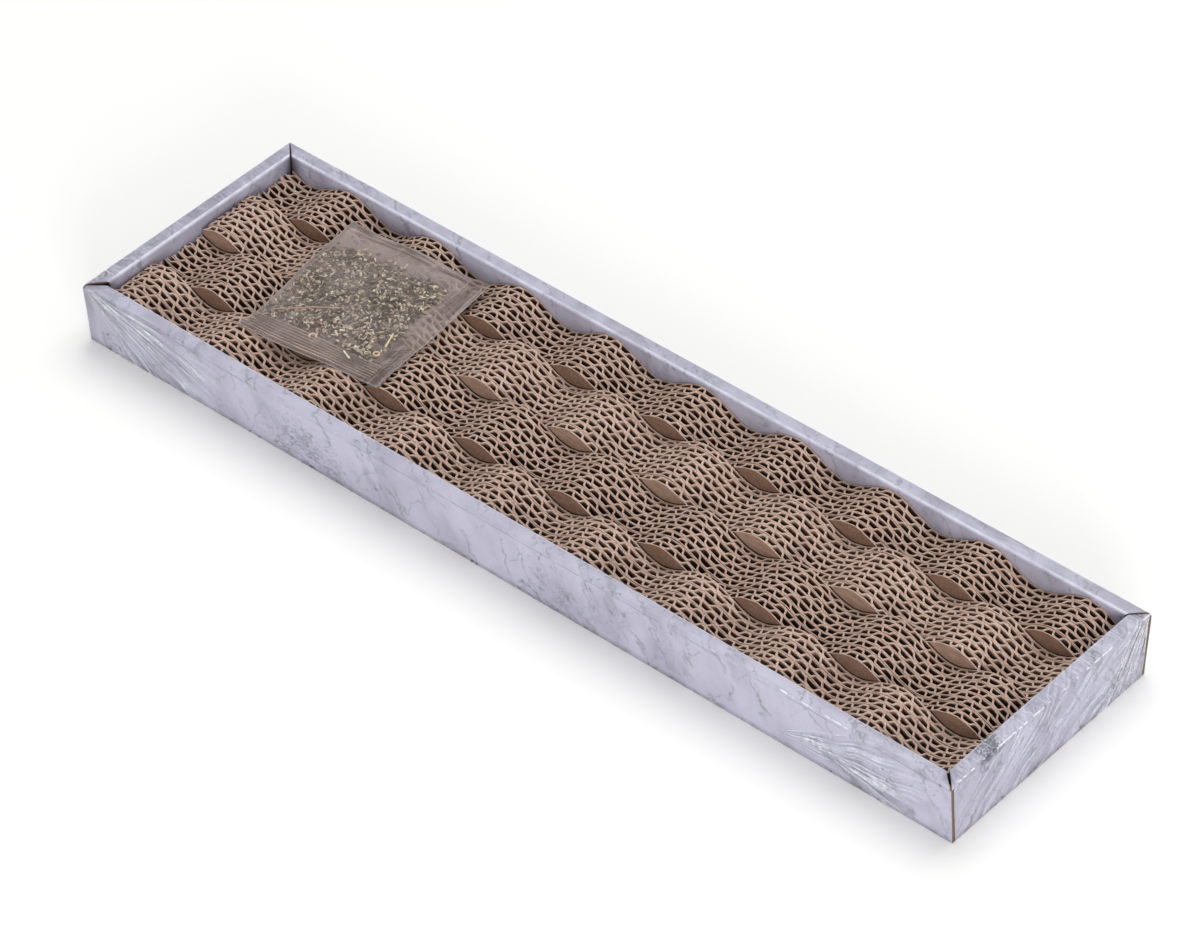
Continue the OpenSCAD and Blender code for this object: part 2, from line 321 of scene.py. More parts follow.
def wrap_film():
    """The clear film round the tray. It shows only where it is pulled: a painted highlight on a crease,
    painted shade beside it.
    """
    f = Finish("wrap_film")
    crease = f.attribute("crease")
    hatch = f.attribute("hatch")
    white = f.band(crease, 0.15, 0.9, 0.0, 0.9) + f.attribute("glint") * 2.0
    grey = f.band(crease, -0.15, -0.9, 0.0, 1.7)
    relief = crease * 0.3
    broken = f.band(f.noise(22 * MM, 3, 0.6), 0.36, 0.6, 0.3, 1.0)
    bright = f.band(f.noise(5 * MM, 3, 0.6), 0.45, 0.65, 0.7, 2.2)
    for number in range(1, 1 + FANS_A_WALL):
        # On this map one axis runs along the creases and the other across them
        sweep = f.attribute(f"sweep_{number}", "Vector")
        streak = f.noise(1.0, 2, 0.5, 0.0, sweep) - 0.5
        pull = f.attribute(f"pull_{number}") * broken
        ridge = f.band(streak, 0.0, 0.03) * f.band(streak, 0.17, 0.06)
        furrow = f.band(streak, 0.0, -0.03) * f.band(streak, -0.17, -0.06)
        # Painted highlight on each crease's ridge and painted shade in its furrow
        white += ridge * bright * pull
        grey += furrow * pull
        relief += streak * pull
    # The rim's fine wrinkles, drawn as painted highlights and painted shade
    hatching = f.noise(0.9 * MM, 2, 0.6, 0.0, f.stretched((0.12, 1.0, 0.3)))
    white += hatch * f.band(hatching, 0.54, 0.68)
    grey += hatch * f.band(hatching, 0.46, 0.32)
    # White where a highlight is painted, dark grey where shade is painted
    f.colour = f.mix(f.band(grey - white, -0.1, 0.1), srgb(248, 248, 255), srgb(98, 97, 110))
    alpha = f.maths("MINIMUM", white * 0.4 + grey * 0.18 + 0.012, 0.8)
    return f.surface(Roughness=0.15, IOR=1.5, Alpha=alpha, Normal=f.bump(relief, 0.15 * MM, 0.5))


def bag_film(name, haze, seam_haze):
    """The bag's cloudy film, with fine crimp lines along its welded seams, soft creases, and a painted
    highlight along its edges.
    """
    f = Finish(name)
    flat = f.node("TexCoord", {}, "UV")
    u, v, _ = f.split(flat)
    edge_highlight = f.attribute("edge_highlight")
    side_seam = f.attribute("side_seam")
    end_seam = f.attribute("end_seam")
    upright = f.noise(1.3 * MM, 3, 0.6, 0.2, f.stretched((1.0, 0.05, 1.0), source=flat))
    level = f.noise(1.5 * MM, 3, 0.6, 0.2, f.stretched((0.06, 1.0, 1.0), source=flat))
    lines = f.maths("ADD", side_seam * f.band(upright, 0.38, 0.62), end_seam * f.band(level, 0.38, 0.62),
                    clamp=True)
    # Fine dust clings to the film, most of it away from the right seam
    dust = f.band(f.noise(16 * MM, 3, 0.5, 0.0, flat), 0.35, 0.65, 0.6, 1.4)
    dust *= f.band(u, 28 * MM, -12 * MM, 0.75, 1.4)
    dust *= f.band(v, 14 * MM, 34 * MM, 1.0, 1.5)
    crease = f.noise(6 * MM, 4, 0.65, 0.6, f.stretched((1.0, 0.5, 1.0), (0, 0, 0.5), flat))
    crease = f.band(crease, 0.55, 0.7)
    f.colour = f.mix(lines, srgb(182, 166, 162), srgb(122, 106, 104))
    f.paint(crease * 0.5, 206, 192, 188)
    # Painted highlight along the film's edges
    f.paint(edge_highlight * 0.7, 196, 184, 180)
    seam = f.maths("MAXIMUM", side_seam, end_seam)
    cloud = (seam * (seam_haze - haze) + haze) * dust
    alpha = f.maths("ADD", cloud + crease * 0.08, edge_highlight * 0.25, clamp=True)
    return f.surface(Roughness=0.2, IOR=1.5, Alpha=alpha, Normal=f.bump(crease + lines, 0.12 * MM, 0.5))


def zip_plastic(name, light, dark, low, high):
    """The grip seal's clear plastic, faintly yellow. Low and high are how much its streaks hide."""
    f = Finish(name)
    streaks = f.noise(0.8 * MM, 3, 0.6, 0.2, f.stretched((0.08, 1.0, 1.0)))
    # It shows best a little left of its middle
    low_corner, high_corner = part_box("zip_rib")
    along = f.split(f.place)[0]
    centre = (low_corner.x + high_corner.x) / 2
    shown = f.band(f.noise(14 * MM, 2, 0.5), 0.35, 0.65, 0.6, 1.0)
    shown *= f.band(along, centre - 26 * MM, centre - 14 * MM, 0.5, 1.0)
    shown *= f.band(along, centre + 6 * MM, centre + 22 * MM, 1.0, 0.45)
    f.colour = f.mix(f.band(streaks, 0.35, 0.65), light, dark)
    return f.surface(Roughness=0.25, IOR=1.5, Alpha=shown * f.band(streaks, 0.3, 0.7, low, high))


def dried(name, grain, *stops):
    """Dried plant bits, each in a shade of its own. A stop is a place from 0 to 1 and the colour there."""
    f = Finish(name)
    mottle = f.noise(grain, 3, 0.6)
    f.colour = f.ramp(f.attribute("tint"), stops)
    f.paint(f.band(mottle, 0.4, 0.7, 0.0, 0.35), 70, 66, 52)
    return f.surface(Roughness=0.85, Normal=f.bump(mottle, 0.1 * MM, 0.5))


MARBLE = marble_print()
INNER_KRAFT = kraft("inner_kraft", srgb(150, 124, 104), srgb(126, 100, 82), 1.4 * MM)
RAW_EDGE = kraft("raw_edge", srgb(140, 118, 106), srgb(92, 74, 66), 0.5 * MM)
PAD_PAPER = pad_paper()
PAD_EDGE = pad_sawn_edge()
WRAP_FILM = wrap_film()
FRONT_FILM = bag_film("bag_front_film", 0.08, 0.18)
BACK_FILM = bag_film("bag_back_film", 0.26, 0.36)
# The ribs' lighter colours are a painted highlight and the band's darker ones painted shade between the ribs
ZIP_BAND_SHADED = zip_plastic("zip_band_shaded", srgb(184, 166, 160), srgb(138, 121, 115), 0.2, 0.5)
ZIP_RIB_LIT = zip_plastic("zip_rib", srgb(236, 216, 200), srgb(190, 168, 152), 0.55, 0.95)
LEAF = dried("catnip_leaf", 0.6 * MM, (0.0, 44, 39, 36), (0.4, 88, 81, 72), (0.75, 134, 125, 106),
             (1.0, 204, 190, 166))
STEM = dried("catnip_stem", 1.2 * MM, (0.0, 176, 146, 128), (0.3, 214, 186, 162), (0.65, 232, 216, 184),
             (1.0, 250, 243, 222))


# Making pieces

def mesh_of(bm, name, materials=()):
    """Turns a finished bmesh into a mesh."""
    mesh = bpy.data.meshes.new(name)
    bm.to_mesh(mesh)
    bm.free()
    for material in materials:
        mesh.materials.append(material)
    return mesh


def in_scene(name, data):
    """Puts a mesh, a lamp or a camera in the scene."""
    made = bpy.data.objects.new(name, data)
    bpy.context.scene.collection.objects.link(made)
    return made


def piece(bm, name, body, materials, replaced=()):
    """Makes a mesh piece that rides on a body, and hides the CAD nodes that it stands for."""
    made = in_scene(name, mesh_of(bm, name, materials))
    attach(made, body)
    if replaced:
        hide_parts(*replaced)
    return made


def thicken(made, thickness, offset, shell=0, rim=0):
    """Gives a sheet its thickness. Its other side's and its edge's material are so many slots further on."""
    solid = made.modifiers.new("thickness", "SOLIDIFY")
    solid.thickness = thickness
    solid.offset = offset
    solid.material_offset = shell
    solid.material_offset_rim = rim
    return solid


def point_values(bm, *names):
    """Layers for values that a mesh's points carry to its material. All are made before any is filled."""
    return [bm.verts.layers.float.new(name) for name in names]


def smooth(bm):
    for face in bm.faces:
        face.smooth = True


def shared_grid(bm, columns, rows, place):
    """A grid whose points go where place says, from their shares along and across it."""
    for v in bmesh.ops.create_grid(bm, x_segments=columns, y_segments=rows, size=0.5)["verts"]:
        place(v, v.co.x + 0.5, v.co.y + 0.5)


def rod(bm, sides, radius, end_radius, length):
    """A rod or a cone that lies along X. Returns its points."""
    return bmesh.ops.create_cone(bm, cap_ends=True, segments=sides, radius1=radius, radius2=end_radius,
                                 depth=length, matrix=Matrix.Rotation(math.pi / 2, 4, "Y"))["verts"]


def lengthwise(edge):
    start, end = (v.co for v in edge.verts)
    return abs(end.x - start.x) > abs(end.y - start.y) + abs(end.z - start.z)


def divide(bm, cuts, wanted=lengthwise):
    """Cuts up the edges that are wanted, which are those along X unless another test is given."""
    edges = [edge for edge in bm.edges if wanted(edge)]
    bmesh.ops.subdivide_edges(bm, edges=edges, cuts=cuts, use_grid_fill=True)


# Pad: strips of corrugated board on edge

# The fluted paper swells where it is sawn, so it looks thicker than the liners
LINER_T = 0.5 * MM
FLUTE_T = 0.78 * MM
# How far the middle of the fluted paper stays from the liners
FLUTE_INSET = 0.15 * FLUTE_T
# The fluted paper's thickness in the light and in the dark groups, as a share of FLUTE_T
LIGHT_SWELL, DARK_SWELL = 1.1, 0.95
# The board's outer faces stand this far apart where one group meets the next
GROUP_GAP = 0.55 * MM
FLUTE_PITCH = 7.9 * MM
# How much steeper than a sine a flute's flanks are
STEEPNESS = 0.34
# Columns of faces in one flute
FLUTE_STEPS = 12
LINER_STEP = 2.4 * MM
# How far each row of a sheet's points lies below the sawn top, from the foot up, and how frayed it is
ROW_DEPTHS = (24 * MM, 5 * MM, 1.2 * MM, 0.0)
ROW_FRAYS = (0.0, 0.15, 0.55, 1.0)
DEPTH_SHOWN = 10 * MM
# How high the fuzz of the sawn edge stands
FUZZ = 0.22 * MM
# How a strip's paper strays: how far, the size of its humps, and what is added to the strip's own seed
LONG_DRIFT = (1.1, 30 * MM, 0)
SHORT_DRIFT = (1.0, 9 * MM, 20)
CRUSH = (0.5, 9 * MM, 40)
FLUTE_SWAY = (0.4 * MM, 3 * MM, 80)
FLUTE_LEAN = (0.9 * MM, 6 * MM, 120)
FLUTE_FUZZ = (1.0, 1.8 * MM, 160)
LINER_SWAY = (0.3 * MM, 5 * MM, 200)
LINER_FUZZ = (1.0, 2.5 * MM, 240)
# How far the seeds of the front and the back liner are from those
LINER_SEED = 30
# In millimetres: how far a strip's top is shifted, and how far its ends may fall short
TOP_SHIFT = (-0.25, 0.2)
END_WEAR = 1.2
LIGHT_TONE = 0.8
DARK_TONE = 0.2
TONE_SPREAD = 0.2
# Stands for no lower neighbour
FAR = 1.0


def strip_nodes():
    return sorted(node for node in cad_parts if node.startswith("strip_"))


def top_line(node):
    """The places along X where a CAD strip's sawn top turns, and its heights there."""
    heights = {}
    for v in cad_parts[node].data.vertices:
        x = round(v.co.x, 6)
        heights[x] = max(heights.get(x, 0.0), v.co.z)
    places = sorted(heights)
    return np.array(places), np.array([heights[x] for x in places])


def apart(line, other):
    """Whether two strips belong to groups whose waves differ."""
    return abs(line[1][-1] - other[1][-1]) > MM


class Strip:
    """One strip of board: where it lies, and how its paper wanders."""

    def __init__(self, node, line, light, behind, ahead):
        self.node = node
        self.line = line
        self.light = light
        # The strip of another group on either side, if there is one
        self.beside = {1: behind, -1: ahead}
        self.low, self.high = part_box(node)
        self.back = self.high.y - (GROUP_GAP if behind else 0.0)
        self.middle = (self.low.y + self.back) / 2
        self.half = (self.back - self.low.y) / 2
        number = int(node[-2:])
        dice = random.Random(number)
        self.seed = 3.7 * number
        self.phase = dice.uniform(0, 2 * math.pi)
        self.lift = dice.uniform(*TOP_SHIFT) * MM
        self.left = self.low.x + dice.uniform(0, END_WEAR) * MM
        self.right = self.high.x - dice.uniform(0, END_WEAR) * MM
        self.tone = limited((LIGHT_TONE if light else DARK_TONE) + dice.uniform(-TONE_SPREAD, TONE_SPREAD))

    def above(self, x, z, side):
        """How far a place on a liner's outer side is above the group beside it."""
        other = self.beside.get(side)
        return z - float(np.interp(x, *other)) if other else FAR

    def height(self, x, row, fuzz):
        """Height of a row of points, with the sawn edge's fuzz."""
        if row == 0:
            return self.low.z
        top = float(np.interp(x, *self.line)) + self.lift
        return top - ROW_DEPTHS[row] + FUZZ * ROW_FRAYS[row] * fuzz

    def stray(self, x, kind, fray=1.0, side=0):
        far, size, seed = kind
        return far * fray * wander(x, size, self.seed + seed + LINER_SEED * side)

    def flute(self, x, row):
        """A point of the fluted paper. Its waves vary in length, and the sawn edge is bent and crushed."""
        fray = ROW_FRAYS[row]
        turn = 2 * math.pi * x / FLUTE_PITCH + self.phase + self.stray(x, LONG_DRIFT)
        turn += self.stray(x, SHORT_DRIFT)
        swing = math.sin(turn)
        x -= STEEPNESS * FLUTE_PITCH / (2 * math.pi) * math.sin(2 * turn)
        reach = self.half - LINER_T - FLUTE_INSET
        # A sine with its crests a little flattened
        wave = swing * (1.25 - 0.25 * swing ** 2)
        y = self.middle + reach * wave * (1 - max(0.0, self.stray(x, CRUSH, fray)))
        y += self.stray(x, FLUTE_SWAY, fray)
        lean = self.stray(x, FLUTE_LEAN, fray)
        return x + lean, y, self.height(x + lean, row, self.stray(x, FLUTE_FUZZ))

    def liner(self, x, row, side):
        """A point of the front liner, side -1, or of the back one, side 1."""
        y = self.middle + side * (self.half - LINER_T / 2)
        y += self.stray(x, LINER_SWAY, ROW_FRAYS[row], side)
        return x, y, self.height(x, row, self.stray(x, LINER_FUZZ, side=side))


def board_strip(strip):
    """One strip: two flat liners with the fluted paper between them, sawn to the wave."""
    bm = bmesh.new()
    depth, skin, tone, above = point_values(bm, "depth", "skin", "tone", "above")
    rows = len(ROW_DEPTHS) - 1
    length = strip.right - strip.left

    def paper(columns, point, side):
        def place(v, along, up):
            row = round(up * rows)
            v.co = point(strip.left + along * length, row)
            v[depth] = min(1.0, ROW_DEPTHS[row] / DEPTH_SHOWN)
            v[skin] = side
            v[tone] = strip.tone
            v[above] = strip.above(v.co.x, v.co.z, side)
        shared_grid(bm, columns, rows, place)

    paper(round(length / FLUTE_PITCH * FLUTE_STEPS), strip.flute, 0)
    flute_points = len(bm.verts)
    for side in (-1, 1):
        paper(round(length / LINER_STEP), lambda x, row: strip.liner(x, row, side), side)
    made = piece(bm, "corrugated_" + strip.node, "pad", [PAD_PAPER, PAD_EDGE], [strip.node])
    flutes = made.vertex_groups.new(name="flutes")
    flutes.add(list(range(flute_points)), 1.0, "REPLACE")
    solid = thicken(made, FLUTE_T * (LIGHT_SWELL if strip.light else DARK_SWELL), 0, rim=1)
    solid.vertex_group = flutes.name
    solid.thickness_vertex_group = LINER_T / FLUTE_T


def make_pad():
    """All the strips. Each second group was turned over, so it shows its lighter side."""
    nodes = strip_nodes()
    lines = [top_line(node) for node in nodes]
    light = False
    for node, before, line, after in zip(nodes, [None] + lines, lines, lines[1:] + [None]):
        behind = before if before and apart(before, line) else None
        ahead = after if after and apart(after, line) else None
        light = light != bool(behind)
        board_strip(Strip(node, line, light, behind, ahead))


# Tray: a sheet of printed board folded into double walls

FOLD_STEPS = 6
WALL_STEP = 8 * MM
WALL_RISE_CUTS = 4
# How far a wall bows between its folds, and how far its rim dips
WALL_BOW = 0.3 * MM
RIM_DIP = 0.1 * MM
# Opening of each mitre at its outer and inner end
MITRE_GAPS = {
    "front_left": (1.7 * MM, 4.4 * MM),
    "front_right": (1.2 * MM, 2.2 * MM),
    "back_left": (0.6 * MM, 1.2 * MM),
    "back_right": (1.6 * MM, 1.4 * MM),
}


class Wall:
    """One wall of the tray, described as if it stood at the back: X along it, Y outwards."""

    def __init__(self, name, turn, ends):
        self.name = name
        self.turn = math.radians(turn)
        self.ends = ends
        self.seed = 11.3 * (1 + len(name))
        axis = 1 if name in ("front", "back") else 0
        other = 1 - axis
        outer_low, outer_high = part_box(f"{name}_outer_panel")
        rim_low, rim_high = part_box(f"{name}_rim")
        floor_low, floor_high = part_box("tray_floor")
        self.sheet = floor_high.z - floor_low.z
        self.top = rim_high.z
        self.outer = max(-rim_low[axis], rim_high[axis])
        self.inner = self.outer - (rim_high[axis] - rim_low[axis])
        # The outer panel leans, so its box is deeper than its board is thick
        self.foot = self.outer - (outer_high[axis] - outer_low[axis] - self.sheet)
        self.half = outer_high[other]
        self.along_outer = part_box("back_rim" if other == 1 else "right_rim")[1][other]
        self.along_inner = self.along_outer - (self.outer - self.inner)
        side_low, side_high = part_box("back_outer_panel")
        lean = (side_high.y - side_low.y - self.sheet) if axis == 0 else 0.0
        self.half_foot = self.half - lean

    def on_outer_panel(self, place):
        return place.z < self.top - self.sheet and place.y > (self.inner + self.outer) / 2


def folded_sheet(wall, step, rise_cuts, inner_panel=True):
    """The printed face of a wall: outer panel, rim and inner panel, folded round and cut to length."""
    bm = bmesh.new()
    outline = [(wall.foot, 0.0), (wall.outer, wall.top), (wall.inner, wall.top)]
    if inner_panel:
        outline.append((wall.inner, wall.sheet))
    reach = max(wall.half, wall.along_outer)
    chain = [bm.verts.new((-reach, y, z)) for y, z in outline]
    edges = [bm.edges.new(pair) for pair in zip(chain, chain[1:])]
    grown = bmesh.ops.extrude_edge_only(bm, edges=edges)["geom"]
    grown = [part for part in grown if isinstance(part, bmesh.types.BMVert)]
    bmesh.ops.translate(bm, vec=(2 * reach, 0, 0), verts=grown)
    folds = [e for e in bm.edges if lengthwise(e) and len(e.link_faces) == 2]
    bmesh.ops.bevel(bm, geom=folds, offset=wall.sheet, offset_type="OFFSET", segments=FOLD_STEPS,
                    profile=0.5, affect="EDGES", material=-1)
    # The edges round a fold are short, those across the rim longer and those up the panels the longest
    rim, panel = 2 * wall.sheet, 4 * wall.sheet
    divide(bm, rise_cuts, lambda e: not lengthwise(e) and e.calc_length() > panel)
    divide(bm, max(1, rise_cuts // 4), lambda e: not lengthwise(e) and rim < e.calc_length() < panel)
    divide(bm, round(2 * reach / step))
    bmesh.ops.recalc_face_normals(bm, faces=bm.faces)
    outward = next(face for face in bm.faces if wall.on_outer_panel(face.calc_center_median()))
    if outward.normal.y < 0:
        bmesh.ops.reverse_faces(bm, faces=bm.faces)
    for sign, corner in zip((-1, 1), wall.ends):
        cut_mitre(bm, wall, sign, corner)
        cut_outer_end(bm, wall, sign)
    return bm


def cut_off(bm, wall, outer_panel, start, normal):
    """Cuts the outer panel, or else all the rest, along a plane and removes what lies beyond it."""
    kept = {face for face in bm.faces if wall.on_outer_panel(face.calc_center_median()) != outer_panel}
    parts = [part for face in bm.faces if face not in kept for part in (face, *face.edges, *face.verts)]
    # Each part once, in an order that is the same each time
    parts = list(dict.fromkeys(parts))
    bmesh.ops.bisect_plane(bm, geom=parts, dist=1e-7, plane_co=start, plane_no=normal)
    beyond = [f for f in bm.faces if f not in kept and (f.calc_center_median() - start).dot(normal) > 0]
    bmesh.ops.delete(bm, geom=beyond, context="FACES")


def cut_mitre(bm, wall, sign, corner):
    """Cuts the rim and the inner panel at a corner, along a line that leaves the mitre's gap."""
    gap_outer, gap_inner = MITRE_GAPS[corner]
    outer = Vector((sign * (wall.along_outer - gap_outer / 2), wall.outer, 0))
    inner = Vector((sign * (wall.along_inner - gap_inner / 2), wall.inner, 0))
    line = outer - inner
    cut_off(bm, wall, False, outer, Vector((line.y, -line.x, 0)) * sign)


def cut_outer_end(bm, wall, sign):
    """Cuts the outer panel's end, which leans where the wall beside it leans."""
    head = Vector((sign * wall.half, 0, wall.top - wall.sheet))
    foot = Vector((sign * wall.half_foot, 0, 0))
    line = head - foot
    cut_off(bm, wall, True, head, Vector((line.z, 0, -line.x)) * sign)


def settle(bm, wall):
    """Bows the board a little between its folds."""
    for v in bm.verts:
        x, _, z = v.co
        if wall.on_outer_panel(v.co):
            rise = math.sin(math.pi * z / (wall.top - wall.sheet))
            v.co.y += WALL_BOW * rise * wander(x, 70 * MM, wall.seed, z / (20 * MM))
        elif z > wall.top - wall.sheet:
            v.co.z += RIM_DIP * (wander(x, 50 * MM, wall.seed + 5) - 1)


def turn_to_side(bm, wall):
    bmesh.ops.rotate(bm, cent=(0, 0, 0), matrix=Matrix.Rotation(wall.turn, 3, "Z"), verts=bm.verts)


def folded_wall(wall):
    bm = folded_sheet(wall, WALL_STEP, WALL_RISE_CUTS)
    settle(bm, wall)
    turn_to_side(bm, wall)
    smooth(bm)
    nodes = [f"{wall.name}_{part}" for part in ("outer_panel", "rim", "inner_panel")]
    faces = [MARBLE, INNER_KRAFT, RAW_EDGE]
    made = piece(bm, f"{wall.name}_folded_wall", "tray", faces, nodes)
    thicken(made, wall.sheet, -1, shell=1, rim=2).use_even_offset = True


# Film wrapped round the tray's walls

FILM_T = 0.05 * MM
FILM_GAP = 0.12 * MM
FILM_STEP = 0.55 * MM
LONG_FILM_STEP = 1.0 * MM
CREASE_LIFT = 0.3 * MM
SLACK = 0.1 * MM
# How much of a crease's lift and of a pull is left past the outer fold, on the rim
RIM_LIFT = 0.4
RIM_PULL = 0.5
# The rim's film starts this far in from the wall's face, and its creases fade this near the inner fold
FOLD_EDGE = 0.3 * MM
INNER_FADE = 1.5 * MM
# Noise of this strength is the top of a ridge
RIDGE = 0.14
# A fan's creases have their full strength this far from its point, and end this sharply at its sides
FAN_START = 5 * MM
FAN_SIDES = 6
FAN_FADE = 1.7
# How far its creases bend, the size of the bends, and the length of a streak along a crease
FAN_BEND = 0.8
BEND_SIZE = 13 * MM
STREAK = 70 * MM


class Fan:
    """Creases that spread from a point of a wall: where from, how far, how close together and how strong."""

    def __init__(self, x, z, reach, count, strength, span=(-270, 90)):
        self.x, self.z, self.reach = x * MM, z * MM, reach * MM
        self.count, self.strength = count, strength
        self.span = [math.radians(a) for a in span]

    def pull(self, x, z):
        """How strong the creases are at a place, and its place on a map that runs along and across them."""
        dx, dz = x - self.x, z - self.z
        distance = math.hypot(dx, dz)
        # Measured from straight down, so that no span crosses the turn of the angle
        angle = (math.atan2(dz, dx) + 1.5 * math.pi) % (2 * math.pi) - 1.5 * math.pi
        inside = limited(min(angle - self.span[0], self.span[1] - angle) * FAN_SIDES)
        fade = min(1.0, distance / FAN_START) * limited(FAN_FADE * (1 - distance / self.reach))
        bend = FAN_BEND * humps(x, z, BEND_SIZE, self.count + 0.3)
        return self.strength * fade * inside, (distance / STREAK + self.x * 90, angle * self.count + bend)


# Seen from outside, a wall's left end has the larger x
FANS = {
    "front": (Fan(240, 33, 88, 24, 1.1, (-182, -122)),
              Fan(-145, 5, 92, 18, 0.75, (-212, -179)),
              Fan(-158, 14, 66, 16, 1.0, (-183, -158))),
    "right": (Fan(150, -84, 460, 55, 0.33),
              Fan(-68, 44, 62, 18, 1.0, (-80, -40)),
              Fan(-54, -12, 44, 20, 0.2)),
    "back": (Fan(243, 30, 110, 20, 0.6, (-190, -100)),
             Fan(-246, 2, 100, 18, 0.6, (-20, 50))),
    "left": (Fan(74, 30, 90, 20, 0.7, (-180, -100)),
             Fan(-72, 2, 70, 18, 0.7, (-10, 60))),
}
# Where the film is crumpled: place, reach, size of the creases and strength, which is less than 0 where it
# only shows as painted shade
CRUMPLES = {
    "front": ((-206, 7, 9, 2.4, 0.6), (-172, 15, 6, 1.8, 0.5), (224, 5, 14, 1.6, 0.6),
              (190, 21, 22, 3.0, 0.3), (-30, 1.5, 30, 2.0, -0.4), (110, 1.5, 36, 1.6, -0.5)),
    "right": ((38, 36, 9, 1.6, -1.0), (44, 29, 6, 1.6, -0.6), (-50, 8, 16, 2.4, 0.2),
              (-56, 26, 12, 2.2, -0.3), (0, 14, 26, 4.0, -0.25)),
    "back": ((150, 8, 30, 2.4, 0.5), (-200, 20, 25, 2.4, 0.5)),
    "left": ((50, 10, 20, 2.4, 0.6), (-55, 28, 14, 2.0, 0.6)),
}
# How much the film over each rim is hatched with fine wrinkles, drawn as painted highlights and painted
# shade
RIM_HATCH = {"front": 0.08, "right": 0.45, "back": 0.1, "left": 0.3}
# How bright the dots of light are on each outer fold
GLINTS = {"front": 0.12, "right": 1.0, "back": 0.1, "left": 0.5}
# Where on the front fold they are brighter: place, reach and brightness
FRONT_SHINE = ((-155, 8, 1.9), (-166, 5, 1.3), (-181, 10, 1.7), (-116, 5, 0.8))
# The dots' size and that of their clusters, how far below the top they lie and how high they reach
DOT_SIZE, CLUSTER_SIZE = 1.9 * MM, 14 * MM
DOT_DROP, DOT_REACH = 0.2 * MM, 0.7 * MM
# The line of light down a wall's right end: how far from the corner, how wide, and the size of its breaks
END_LINE, END_REACH, END_BREAKS = 1.2 * MM, 0.9 * MM, 7 * MM
END_FADE = 4 * MM


def crumple(x, z, size, seed):
    """Small creases that run every way: up to 1 on a ridge and down to -1 in a furrow."""
    share = humps(x, z, size, seed) / RIDGE
    return share * math.exp(0.5 - 0.5 * share * share)


def film_creases(wall, x, z):
    """Up to 1 where the film stands up in a small crease, and down to -1 where it dips."""
    total = 0.12 * crumple(x / 2, z, 4 * MM, wall.seed)
    for cx, cz, reach, size, strength in CRUMPLES[wall.name]:
        near = min(1.0, 2 * near_spot(x, z, (cx * MM, cz * MM), reach * MM))
        if near:
            fold = crumple(x, z, size * MM, cx)
            total += strength * near * (fold if strength > 0 else abs(fold))
    return max(-1.0, min(1.0, total))


def glint(wall, x, z):
    """Dots of light along the outer fold, and a line of light down the wall's right end."""
    dots = max(0.0, 4.5 * wander(x, DOT_SIZE, 20.1) + 0.25) * (0.8 + 0.5 * wander(x, CLUSTER_SIZE, 7.6))
    dots = min(1.0, dots) * fading(z - wall.top + DOT_DROP, DOT_REACH)
    upright = fading(x + wall.half - END_LINE, END_REACH) * limited((wall.top - z) / END_FADE)
    shine = GLINTS[wall.name]
    if wall.name == "front":
        shine = max(shine, *(bright * fading(x / MM - at, reach) for at, reach, bright in FRONT_SHINE))
    return shine * max(dots, upright * (0.5 + 0.8 * wander(z, END_BREAKS, 3.3)))


def wall_film(wall):
    """The film over one wall's face and rim, lifted a little where it creases."""
    step = LONG_FILM_STEP if wall.half > 100 * MM else FILM_STEP
    bm = folded_sheet(wall, step, round(wall.top / FILM_STEP), inner_panel=False)
    settle(bm, wall)
    bm.normal_update()
    fans = FANS[wall.name]
    numbers = range(1, 1 + len(fans))
    crease_layer, hatch_layer, glint_layer = point_values(bm, "crease", "hatch", "glint")
    pull_layers = point_values(bm, *(f"pull_{number}" for number in numbers))
    sweeps = [bm.loops.layers.uv.new(f"sweep_{number}") for number in numbers]
    lifts, maps = {}, {}
    for v in bm.verts:
        on_rim = v.co.z > wall.top - wall.sheet and v.co.y < wall.outer - FOLD_EDGE
        # Past the fold, the rim counts as more height
        height = v.co.z + max(0.0, wall.outer - v.co.y) * on_rim
        crease = film_creases(wall, v.co.x, height)
        inner_edge = limited((v.co.y - wall.inner) / INNER_FADE)
        v[crease_layer] = crease * inner_edge
        v[hatch_layer] = RIM_HATCH[wall.name] * on_rim * inner_edge
        v[glint_layer] = glint(wall, v.co.x, height)
        pulls = [fan.pull(v.co.x, height) for fan in fans]
        maps[v] = [place for strength, place in pulls]
        for layer, (strength, place) in zip(pull_layers, pulls):
            v[layer] = strength * (RIM_PULL if on_rim else 1.0) * inner_edge
        slack = SLACK * (1 + wander(v.co.x, 12 * MM, wall.seed, v.co.z / (6 * MM)))
        ridge = CREASE_LIFT * max(0.0, crease) * (RIM_LIFT if on_rim else 1.0)
        lifts[v] = v.normal * (FILM_GAP + slack + ridge)
    for v, lift in lifts.items():
        v.co += lift
    turn_to_side(bm, wall)
    smooth(bm)
    for face in bm.faces:
        for loop in face.loops:
            for sweep, place in zip(sweeps, maps[loop.vert]):
                loop[sweep].uv = place
    made = piece(bm, f"{wall.name}_wrap_film", "tray", [WRAP_FILM])
    thicken(made, FILM_T, 1)


def make_tray():
    walls = [
        Wall("back", 0, ("back_left", "back_right")),
        Wall("front", 180, ("front_right", "front_left")),
        Wall("right", -90, ("back_right", "front_right")),
        Wall("left", 90, ("front_left", "back_left")),
    ]
    for wall in walls:
        folded_wall(wall)
        wall_film(wall)
    for node in ("tray_floor", "front_left_tab", "front_right_tab", "back_left_tab", "back_right_tab"):
        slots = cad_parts[node].data.materials
        slots.clear()
        slots.append(INNER_KRAFT)


# Catnip bag

LEFT_SEAL = 2 * MM
RIGHT_SEAL = 11 * MM
END_SEAL = 5 * MM
